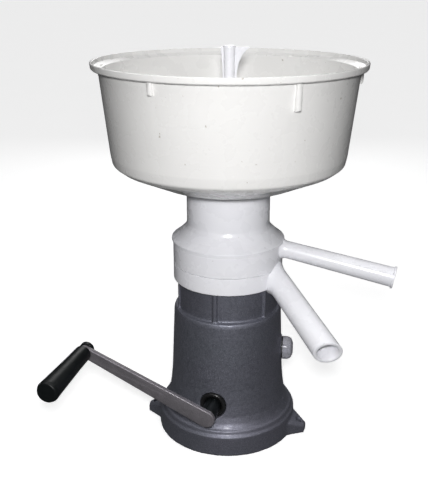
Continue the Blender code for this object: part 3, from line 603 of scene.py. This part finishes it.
def make_crank():
    crank = along(CRANK, outward(0))
    ring = [(9.5, 58.0, 0.4), (14.4, 58.0, 0.4), (14.4, 64.6, 2.2), (12.0, 65.9, 1.6)]
    ring += [(9.5, 64.2, 0.8)]
    ring = place(lathe(rounded(ring, True), 128), crank)
    seal = add("shaft_seal", ring, LOOKS["black_seal_rubber"])
    finish_piece(seal, "base", "black_seal_rubber", "crank_seal")

    sleeve = [(6.5, 59.0, 0.5), (9.1, 59.0, 0.5), (9.1, 88.8, 0.7), (6.5, 88.8, 0.4)]
    hub = add("hub_sleeve", lathe(rounded(sleeve, True), 128), LOOKS["black_grip_plastic"])
    shape(hub, "DIFFERENCE", block((-1.1, 8.2, 57), (1.1, 12, 90)))
    across = along((0, 0, 77), Vector((1, 0, 0)))
    shape(hub, "DIFFERENCE", place(rod(1.9, -12, 12), across))
    settle(hub, sharp=35)
    hub.data.transform(crank)
    finish_piece(hub, "crank", "black_grip_plastic", "crank_hub")

    grip_radius, hub_radius = 6.4, 9.5
    lean = math.asin((hub_radius - grip_radius) / CRANK_ARM)
    outline = []
    for centre, radius, start, end in (
        (CRANK_ARM, grip_radius, lean - math.pi / 2, math.pi / 2 - lean),
        (0.0, hub_radius, math.pi / 2 - lean, 1.5 * math.pi + lean),
    ):
        for i in range(33):
            angle = start + (end - start) * i / 32
            outline.append((centre + radius * math.cos(angle), radius * math.sin(angle)))
    arm = add("flat_arm", loft([[(x, y, z) for x, y in outline] for z in (89.1, 94.6)]))
    arm.data.materials.append(LOOKS["arm_enamel"])
    shape(arm, "DIFFERENCE", place(rod(4.4, 88, 96), Matrix.Translation((CRANK_ARM * MM, 0, 0))))
    bevel(arm, 0.9, 4)
    settle(arm, sharp=60)
    turned = along((CRANK.x, CRANK.y, CRANK.z), outward(0))
    swing = turned @ Matrix.Rotation(CRANK_ANGLE, 4, "Z")
    arm.data.transform(swing)
    finish_piece(arm, "crank", "arm_enamel", "crank_arm")

    spot = swing @ Matrix.Translation((CRANK_ARM * MM, 0, 0))
    corners = [(0, 82.6, 0), (6.6, 82.6, 1.6), (8.0, 84.4, 1.2), (8.0, 88.8, 0.5), (4.0, 88.8, 0)]
    corners += [(4.0, 172, 0.8), (0, 172, 0)]
    pin = place(lathe(rounded(corners), 96), spot)
    pin = add("grip_pin_head", pin, LOOKS["black_grip_plastic"])
    finish_piece(pin, "crank", "black_grip_plastic", "grip_pin")

    grip = [(0, 181.0, 0), (10.4, 181.0, 1.8), (11.8, 177.6, 2.0), (11.3, 168, 12.0)]
    grip += [(9.6, 120, 30.0), (9.2, 97.0, 2.0), (8.2, 95.0, 1.0), (4.6, 95.0, 0.6)]
    grip += [(4.6, 174.0, 0), (0, 174.0, 0)]
    handle = add("hand_grip", place(lathe(rounded(grip), 128), spot), LOOKS["black_grip_plastic"])
    finish_piece(handle, "grip", "black_grip_plastic", "crank_grip")


# ---------------------------------------------------------------- receivers


def flare(bm, start, direction, bore, reach, push):
    """Widens a spout's outside where it leaves the receiver's wall, as a moulded fillet."""
    for v in bm.verts:
        out = v.co.xy.length / MM - RECEIVER_RADIUS
        arm = v.co - start * MM
        radial = arm - direction * arm.dot(direction)
        if radial.length < (bore + 1) * MM:
            continue
        share = min(1.2, max(0.0, 1 - out / reach))
        v.co += radial.normalized() * push * share * share * MM


def slant(bm, length, normal):
    """Skews a spout along Z so that its mouth faces along a normal, fading to its root."""
    for v in bm.verts:
        share = max(0.0, v.co.z / (length * MM))
        v.co.z -= share * (v.co.x * normal.x + v.co.y * normal.y) / normal.z


def spout_profile(length, root, mouth, bore, lip, flange=None):
    """A spout's outline from its root inside the wall, round the lip and back to a blind end."""
    corners = [(0, -10, 0), (root, -10, 0)]
    rows = 36
    narrow = length - (2 * lip if flange is None else flange[1] + 0.6)
    for i in range(rows + 1):
        z = -10 + (narrow + 10) * (i + 1) / (rows + 2)
        corners.append((root + (mouth - root) * max(0.0, z) / length, z, 0))
    if flange:
        radius, width = flange
        corners += [(mouth, length - width - 0.6, 0), (mouth, length - width, 0.4)]
        corners += [(radius, length - width + 0.4, 0.5), (radius, length, 0.9)]
    else:
        corners += [(mouth, length - lip, 0), (mouth, length, lip)]
    corners += [(bore, length, 0.8 if flange else lip), (bore, length - 2 * lip, 0)]
    corners += [(bore, 4.0, 0), (0, 4.0, 0)]
    return rounded(corners, steps=6)


def clear_of_stack(low, high, radius):
    """The space inside the walls, and above a height the space of the piece that stands there."""
    step = [(0, low), (58.1, low), (58.1, high), (radius, high), (radius, 270), (0, 270)]
    return lathe(step, FINE)


def make_skim_receiver():
    """The lower ring trough with the wide skim milk spout."""
    outer, inner = RECEIVER_RADIUS, RECEIVER_RADIUS - RECEIVER_WALL
    low = HOUSING_TOP + GAP
    corners = [(47.8, 177.5, 0.6), (50.3, 177.5, 0.6), (50.3, low, 0), (outer, low, 1.3)]
    corners += [(outer, SKIM_TOP, 0.5), (inner, SKIM_TOP, 0.5), (inner, low + 2.6, 1.5)]
    corners += [(50.3, low + 2.6, 1.0), (50.3, 194, 0.8), (47.8, 194, 0.8)]
    ring = add("skim_milk_receiver", lathe(rounded(corners, True)), LOOKS["receiver_plastic"])
    start = polar(RECEIVER_RADIUS, SKIM_ROOT_AZIMUTH, SKIM_Z)
    forward = outward(SKIM_AZIMUTH, SKIM_SLOPE)
    matrix = along(start, forward)
    profile = spout_profile(SKIM_LENGTH, SKIM_ROOT_RADIUS, SKIM_MOUTH_RADIUS, SKIM_BORE, 1.6)
    spout = lathe(profile, 128)
    mouth = matrix.to_3x3().inverted() @ outward(SKIM_MOUTH_AZIMUTH, SKIM_MOUTH_SLOPE)
    slant(spout, SKIM_LENGTH, mouth)
    place(spout, matrix)
    flare(spout, start, forward, SKIM_BORE, 7.0, 2.2)
    tube = add("skim_spout", spout)
    shape(tube, "DIFFERENCE", clear_of_stack(100, SKIM_TOP, RECEIVER_RADIUS + 0.6))
    settle(tube)
    shape(ring, "UNION", take_mesh(tube))
    bore = add("skim_bore", place(rod(SKIM_BORE - 0.3, -16, 8), matrix))
    keep = [(50.6, low + 2.9), (190, low - 147), (190, SKIM_TOP - 2.2), (50.6, SKIM_TOP - 2.2)]
    shape(bore, "INTERSECT", lathe(keep))
    settle(bore)
    shape(ring, "DIFFERENCE", take_mesh(bore))
    settle(ring, sharp=58)
    finish_piece(ring, "skim_receiver", "receiver_plastic", "skim_receiver", "skim_spout")


def make_cream_receiver():
    """The upper ring trough with the slim cream spout."""
    outer, inner = RECEIVER_RADIUS, RECEIVER_RADIUS - RECEIVER_WALL
    low = SKIM_TOP + GAP
    corners = [(20.5, low, 0.5), (54.9, low, 0), (54.9, 199.5, 0.5), (57.2, 199.5, 0.5)]
    corners += [(57.2, low, 0), (outer, low, 0.9), (outer - 0.15, low + 3.2, 0.6)]
    corners += [(outer, low + 4.2, 0.6), (outer, CREAM_TOP - 3.6, 0.6)]
    corners += [(outer - 0.2, CREAM_TOP - 2.8, 0.6), (outer, CREAM_TOP - 2.0, 0.6)]
    corners += [(outer, CREAM_TOP, 0.6), (inner, CREAM_TOP, 0.5), (inner, low + 2.5, 1.5)]
    corners += [(22.6, low + 2.5, 1.0), (22.6, 207.6, 0.7), (20.5, 207.6, 0.7)]
    ring = add("cream_milk_receiver", lathe(rounded(corners, True)), LOOKS["receiver_plastic"])
    start = polar(RECEIVER_RADIUS, CREAM_SPOUT_AZIMUTH, CREAM_SPOUT_Z)
    forward = outward(CREAM_SPOUT_AZIMUTH, CREAM_SPOUT_SLOPE)
    matrix = along(start, forward)
    length = (CREAM_SPOUT_REACH - RECEIVER_RADIUS) / math.cos(math.radians(CREAM_SPOUT_SLOPE))
    profile = spout_profile(length, 9.3, 10.6, CREAM_SPOUT_BORE, 1.2, flange=(11.9, 2.4))
    spout = place(lathe(profile, 96), matrix)
    flare(spout, start, forward, CREAM_SPOUT_BORE, 6.0, 2.2)
    tube = add("cream_spout", spout)
    shape(tube, "DIFFERENCE", clear_of_stack(150, CREAM_TOP, 62.4))
    settle(tube)
    shape(ring, "UNION", take_mesh(tube))
    bore = add("cream_bore", place(rod(CREAM_SPOUT_BORE - 0.3, -10, 8), matrix))
    keep = [(45.0, low + 3.5), (190, low - 30), (190, 240), (63.6, 240), (63.6, CREAM_TOP - 2.4)]
    keep += [(45.0, CREAM_TOP - 2.4)]
    shape(bore, "INTERSECT", lathe(keep))
    settle(bore)
    shape(ring, "DIFFERENCE", take_mesh(bore))
    settle(ring, sharp=58)
    finish_piece(ring, "cream_receiver", "receiver_plastic", "cream_receiver", "cream_spout")


def make_float_chamber():
    """The necked chamber that covers the cream receiver."""
    neck = CHAMBER_NECK_RADIUS
    skirt = CREAM_TOP + GAP
    floor = CREAM_TOP + 9.5
    under = floor - 2.6
    corners = [(neck, CHAMBER_TOP, 0.8), (neck, 248.0, 6.0), (46.6, 244.0, 4.0)]
    corners += [(55.0, 235.8, 10.0), (59.6, 232.4, 2.5)]
    corners += [(61.6, 230.9, 0.5), (61.8, skirt, 0.3), (57.2, skirt, 0)]
    corners += [(57.2, 225.5, 0.5), (55.2, 225.5, 0.5), (55.2, 230.0, 1.0), (48.0, under, 1.0)]
    corners += [(4.6, under, 0.8), (4.6, 212, 0.5), (3.2, 212, 0.5), (3.2, floor, 1.2)]
    corners += [(neck - 2.4, floor, 2.0), (neck - 2.4, CHAMBER_TOP, 0.8)]
    chamber = add("float_cup", lathe(rounded(corners, True)), LOOKS["receiver_plastic"])
    finish_piece(chamber, "float_chamber", "receiver_plastic", "float_chamber")
    floor += GAP
    corners = [(0, floor + 3, 0), (8, floor + 3, 1.0), (10, floor, 1.0), (37, floor, 2.0)]
    corners += [(37, floor + 16, 2.5), (35, floor + 18, 2.0), (8, floor + 19, 3.0)]
    corners += [(3.5, floor + 23.5, 1.2), (0, floor + 23.5, 0)]
    body = add("float_disc", lathe(rounded(corners)), LOOKS["bowl_plastic"])
    finish_piece(body, "float", "bowl_plastic", "milk_float")


# ---------------------------------------------------------------- bowl and tap


def bowl_tab(azimuth, drop, width):
    """A short upright tab moulded under the lip, with a rounded foot."""
    high = BOWL_LIP + 1.0
    low = BOWL_LIP - drop
    inner_low = 130.8 - 0.103 * drop
    corners = [(130.8, high, 0), (inner_low, low, 0), (133.4, low, 1.0)]
    corners += [(134.9, low + 1.6, 1.2), (135.4, high, 0)]
    outline = rounded(corners, True)
    half = width / 2
    rings = []
    for side, inset in ((-half, 0.7), (-half + 0.7, 0.0), (half - 0.7, 0.0), (half, 0.7)):
        rings.append([(r - inset, side, z + inset * 0.5) for r, z in outline])
    return place(loft(rings), Matrix.Rotation(math.radians(azimuth - 90), 4, "Z"))


def make_bowl():
    corners = [(BOWL_RADIUS, BOWL_RIM, 0.7), (139.3, BOWL_RIM - 5.4, 1.0)]
    corners += [(138.0, BOWL_LIP + 0.4, 0.8), (132.2, BOWL_LIP, 1.6)]
    corners += [(123.6, 326.5, 8.0), (121.8, 316.8, 5.0)]
    corners += [(114.8, 311.6, 6.0), (75.5, 294.2, 3.0), (42.2, 294.0, 1.2), (42.2, 286.0, 0.6)]
    corners += [(39.6, 286.0, 0.6), (39.6, 294.0, 0.8), (11.4, 294.0, 1.0), (11.0, 276.0, 0.6)]
    corners += [(7.4, 276.0, 0.5), (8.6, 303.0, 0.5), (11.6, 303.0, 0.8), (11.6, BOWL_FLOOR, 1.0)]
    corners += [(73.0, BOWL_FLOOR, 3.0), (113.2, 315.0, 6.0), (118.8, 319.8, 6.0)]
    corners += [(120.9, 328.0, 8.0), (129.4, BOWL_LIP - 0.4, 1.6), (136.6, BOWL_RIM - 4.2, 1.2)]
    corners += [(137.8, BOWL_RIM, 0.7)]
    bowl = add("milk_bowl_shell", lathe(rounded(corners, True), 256), LOOKS["bowl_plastic"])
    for azimuth, drop, width in BOWL_TABS:
        shape(bowl, "UNION", bowl_tab(azimuth, drop, width))
    shape(bowl, "DIFFERENCE", block((6.5, -3.5, 298.4), (14, 3.5, 301.6)))
    settle(bowl, sharp=48)
    finish_piece(bowl, "bowl", "bowl_plastic", "milk_bowl")


def make_tap():
    """The tap: a hollow tapered plug, a long stem and a lever blade at the top."""
    top = TAP_TOP
    corners = [(0, TAP_LOW + 21.2, 0), (4.6, TAP_LOW + 21.2, 0), (4.2, TAP_LOW, 0.4)]
    corners += [(6.9, TAP_LOW, 0.5), (8.2, 303.4, 1.0), (7.4, 306.0, 1.0), (5.2, 309.0, 2.0)]
    corners += [(5.2, 360, 0), (5.9, top - 3.4, 0.8), (6.3, top - 2.4, 0.6), (6.2, top, 1.1)]
    corners += [(0, top, 0)]
    tap = add("tap_stem", lathe(rounded(corners), SMALL), LOOKS["receiver_plastic"])
    lever = [(2.0, 40.0, 0), (7.2, 40.0, 0), (7.6, 26.0, 6.0), (9.4, 17.0, 6.0), (13.0, 9.0, 6.0)]
    lever += [(19.8, 2.2, 1.0), (20.2, 1.6, 0.4), (2.0, 1.6, 0)]
    rib = [(2.0, 40.0, 0), (6.6, 40.0, 0), (7.0, 20.0, 6.0), (8.6, 4.0, 2.0), (8.6, 1.6, 0.6)]
    rib += [(2.0, 1.6, 0)]
    for corners, turn in ((lever, TAP_TURN), (rib, TAP_TURN + math.pi)):
        outline = rounded(corners, True)
        rings = [[(x, y, top - drop) for x, drop in outline] for y in (1.15, -1.15)]
        shape(tap, "UNION", place(loft(rings), Matrix.Rotation(turn, 4, "Z")))
    shape(tap, "DIFFERENCE", block((2.0, -2.4, 292.0), (12, 2.4, 296.0)))
    bevel(tap, 0.45, 2, 50)
    settle(tap, sharp=60)
    finish_piece(tap, "tap", "receiver_plastic", "tap_plug")


# ---------------------------------------------------------------- stage


CAMERA_PLACE = (0.1842, -0.7389, 0.498)
CAMERA_AIM = (-0.2451, 0.9043, -0.3496)
CAMERA_LENS = 52.87
WORLD_STRENGTH = 0.05
WORLD_COLOUR = (0.97, 0.98, 1.0, 1.0)
WHITE = (1, 1, 1, 1)
FLOOR_GLOW = 0.42
BACKDROP_GLOW = 0.72
FLOOR_REACH = 60000
BACKDROP_RADIUS = 56000
BACKDROP_HEIGHT = 60000


def add_light(name, kind, place_at, aim, power, **settings):
    """A light in metres that shines from one point towards another."""
    data = bpy.data.lights.new(name, kind)
    data.energy = power
    for setting, value in settings.items():
        setattr(data, setting, value)
    light = bpy.data.objects.new(name, data)
    light.location = place_at
    direction = Vector(aim) - Vector(place_at)
    light.rotation_euler = direction.to_track_quat("-Z", "Y").to_euler()
    bpy.context.scene.collection.objects.link(light)
    return light


def make_stage():
    """A plain pale floor, soft studio lights and the camera."""
    paper = Look(
        "studio_paper", Roughness=0.9, Emission_Color=WHITE, Emission_Strength=FLOOR_GLOW)
    paper.colour(paper.mix(paper.noise(3.0), (0.93, 0.93, 0.93), (0.96, 0.96, 0.96)))
    slab = block((-FLOOR_REACH, -FLOOR_REACH, -12), (FLOOR_REACH, FLOOR_REACH, -0.2))
    floor = add("floor", slab, paper.material)
    wall = Look(
        "studio_wall", Roughness=0.9, Emission_Color=WHITE, Emission_Strength=BACKDROP_GLOW)
    wall.colour(wall.mix(wall.noise(0.1), (0.92, 0.92, 0.92), (0.95, 0.95, 0.95)))
    inner, outer = BACKDROP_RADIUS, BACKDROP_RADIUS + 100
    ring = [(inner, -1), (inner, BACKDROP_HEIGHT), (outer, BACKDROP_HEIGHT), (outer, -1)]
    backdrop = add("backdrop", lathe(ring, SMALL), wall.material)
    for piece in (floor, backdrop):
        piece.visible_diffuse = False
        piece.visible_glossy = False
    backdrop.visible_shadow = False

    world = bpy.data.worlds.new("studio")
    world.use_nodes = True
    background = world.node_tree.nodes["Background"]
    background.inputs["Color"].default_value = WORLD_COLOUR
    background.inputs["Strength"].default_value = WORLD_STRENGTH
    bpy.context.scene.world = world

    add_light("overhead_light", "SUN", (0, 0, 2), (0, 0.1, 0), 1.3, angle=math.radians(80))
    above_camera = Vector(CAMERA_PLACE) + Vector((0, 0, 0.06))
    behind = (-0.35, 1.25, 0.8)
    low = (0, -0.1, 0.002)
    add_light("front_light", "AREA", above_camera, (0, 0, 0.25), 5.0, shape="DISK", size=0.09)
    add_light("rear_light", "AREA", behind, (0, 0, 0.22), 3.0, shape="DISK", size=0.7)
    card = add_light("bounce_card", "AREA", low, (0, -0.1, 1), 0.22, shape="DISK", size=0.55)
    card.visible_camera = False
    card.visible_glossy = False

    data = bpy.data.cameras.new("camera")
    data.lens = CAMERA_LENS
    data.sensor_width = 36
    camera = bpy.data.objects.new("camera", data)
    camera.location = CAMERA_PLACE
    camera.rotation_euler = Vector(CAMERA_AIM).to_track_quat("-Z", "Y").to_euler()
    bpy.context.scene.collection.objects.link(camera)
    bpy.context.scene.camera = camera
    bpy.context.scene.view_settings.view_transform = "Standard"


dress_cad_nodes()
make_housing()
make_oil_plug()
make_crank()
make_skim_receiver()
make_cream_receiver()
make_float_chamber()
make_bowl()
make_tap()
make_stage()
